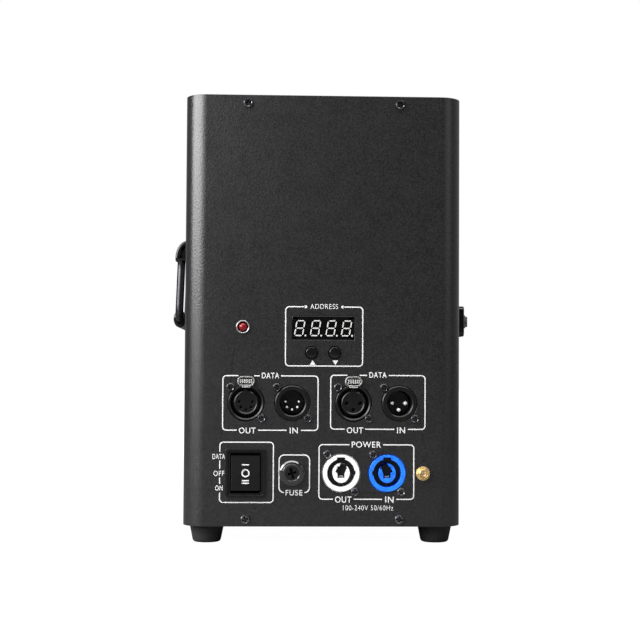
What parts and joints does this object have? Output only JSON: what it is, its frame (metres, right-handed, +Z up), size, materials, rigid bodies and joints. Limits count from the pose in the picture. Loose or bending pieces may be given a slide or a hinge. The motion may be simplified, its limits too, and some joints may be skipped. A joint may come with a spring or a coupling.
{
  "type": "stage flame machine",
  "caption": "Floor-standing stage flame machine in a rounded steel box, with rear sockets and controls, a side door to the can bay, a drop handle and a flame mouth on top.",
  "frame": {"origin": "on the floor under the feet, at the centre of the overall box", "axes": "+Z up, -Y towards the rear panel with the sockets, +X towards the side with the can door, seen from the rear it points right"},
  "size_m": [0.206, 0.236, 0.291],
  "materials": {
    "powder_coat": "fine textured black powder coat",
    "foot_rubber": "moulded rubber",
    "black_plastic": "satin moulded",
    "gloss_plastic": "glossy moulded",
    "grey_plastic": "satin moulded",
    "blue_plastic": "satin moulded",
    "black_steel": "glossy black plated steel",
    "zinc_steel": "zinc plated",
    "stainless": "brushed",
    "chrome": "polished",
    "gold_plate": "gold plated",
    "brass": "turned",
    "ceramic": "glazed ceramic",
    "red_lens": "clear tinted",
    "aluminium": "satin",
    "coil_wrap": "wound copper under tape in a steel yoke",
    "circuit_board": "solder mask",
    "fuse_glass": "clear"
  },
  "bodies": {
    "housing": {"rear_wrap": "powder_coat", "front_cover": "powder_coat", "top_plate": "powder_coat", "base_plate": "powder_coat", "foot_rear_left": "foot_rubber", "foot_rear_right": "foot_rubber", "foot_front_left": "foot_rubber", "foot_front_right": "foot_rubber", "bulkhead": "zinc_steel", "hinge_pin": "black_steel", "handle_bracket_rear": "gloss_plastic", "handle_bracket_front": "gloss_plastic", "flame_mouth": "stainless", "burner_nozzle": "brass", "insulator_left": "ceramic", "electrode_left": "stainless", "insulator_right": "ceramic", "electrode_right": "stainless", "press_frame": "zinc_steel", "lever_pin": "zinc_steel", "can_clip": "black_steel", "solenoid_body": "coil_wrap", "return_spring": "zinc_steel", "five_pole_out_shell": "black_plastic", "five_pole_out_insert": "black_plastic", "five_pole_in_shell": "black_plastic", "five_pole_in_insert": "black_plastic", "three_pole_out_shell": "black_plastic", "three_pole_out_insert": "black_plastic", "three_pole_in_shell": "black_plastic", "three_pole_in_insert": "black_plastic", "power_out_shell": "grey_plastic", "power_out_core": "grey_plastic", "power_in_shell": "blue_plastic", "power_in_core": "blue_plastic", "rocker_frame": "black_plastic", "fuse_holder": "gloss_plastic", "lamp_bezel": "chrome", "lamp_lens": "red_lens", "antenna_jack": "gold_plate", "display_board": "circuit_board", "control_board": "circuit_board", "power_supply": "aluminium", "igniter_module": "black_plastic"},
    "door": {"can_door": "powder_coat", "latch_housing": "gloss_plastic"},
    "latch": {"latch_knob": "black_steel", "latch_cam": "zinc_steel"},
    "handle": {"handle_bail": "black_steel", "handle_grip": "gloss_plastic"},
    "switch_rocker": {"rocker": "gloss_plastic"},
    "up_button": {"button_up": "gloss_plastic"},
    "down_button": {"button_down": "gloss_plastic"},
    "five_pole_tab": {"five_pole_out_push_tab": "stainless"},
    "three_pole_tab": {"three_pole_out_push_tab": "stainless"},
    "fuse_carrier": {"fuse_link": "fuse_glass"},
    "fuse_knob": {"fuse_cap": "gloss_plastic"},
    "solenoid_plunger": {"plunger": "stainless"},
    "lever": {"press_lever": "zinc_steel"},
    "can_lift": {"lift_cup": "aluminium"}
  },
  "joints": [
    {"name": "door_swing", "type": "hinge", "parent": "housing", "child": "door", "pos_m": [0.0924, 0.0798, 0.1525], "axis": [0, 0, 1], "range_deg": [0, 110]},
    {"name": "latch_turn", "type": "hinge", "parent": "door", "child": "latch", "pos_m": [0.089, -0.0453, 0.1468], "axis": [1, 0, 0], "range_deg": [0, 90]},
    {"name": "handle_swing", "type": "hinge", "parent": "housing", "child": "handle", "pos_m": [-0.0972, 0.003, 0.1908], "axis": [0, 1, 0], "range_deg": [0, 100]},
    {"name": "rocker_tilt", "type": "hinge", "parent": "housing", "child": "switch_rocker", "pos_m": [-0.0505, -0.1105, 0.0463], "axis": [1, 0, 0], "range_deg": [-9, 9]},
    {"name": "up_button_press", "type": "slide", "parent": "housing", "child": "up_button", "axis": [0, 1, 0], "range_m": [0, 0.001], "stiffness_N_per_m": 400},
    {"name": "down_button_press", "type": "slide", "parent": "housing", "child": "down_button", "axis": [0, 1, 0], "range_m": [0, 0.001], "stiffness_N_per_m": 400},
    {"name": "five_pole_tab_press", "type": "slide", "parent": "housing", "child": "five_pole_tab", "axis": [0, 1, 0], "range_m": [0, 0.0012], "stiffness_N_per_m": 900},
    {"name": "three_pole_tab_press", "type": "slide", "parent": "housing", "child": "three_pole_tab", "axis": [0, 1, 0], "range_m": [0, 0.0012], "stiffness_N_per_m": 900},
    {"name": "fuse_slide", "type": "slide", "parent": "housing", "child": "fuse_carrier", "axis": [0, -1, 0], "range_m": [0, 0.026]},
    {"name": "fuse_cap_turn", "type": "hinge", "parent": "fuse_carrier", "child": "fuse_knob", "pos_m": [-0.0207, -0.1145, 0.0463], "axis": [0, 1, 0], "range_deg": [0, 60]},
    {"name": "plunger_lift", "type": "slide", "parent": "housing", "child": "solenoid_plunger", "axis": [0, 0, 1], "range_m": [0, 0.007], "stiffness_N_per_m": 300, "deforming": ["return_spring"]},
    {"name": "lever_swing", "type": "hinge", "parent": "housing", "child": "lever", "pos_m": [0.044, 0.028, 0.0282], "axis": [0, 1, 0], "range_deg": [0, 3.8]},
    {"name": "cup_lift", "type": "slide", "parent": "housing", "child": "can_lift", "axis": [0, 0, 1], "range_m": [0, 0.003]}
  ],
  "couplings": [
    {"joint": "lever_swing", "follows": "plunger_lift", "rad_per_m": 9.2593},
    {"joint": "cup_lift", "follows": "plunger_lift", "ratio": 0.41667}
  ]
}
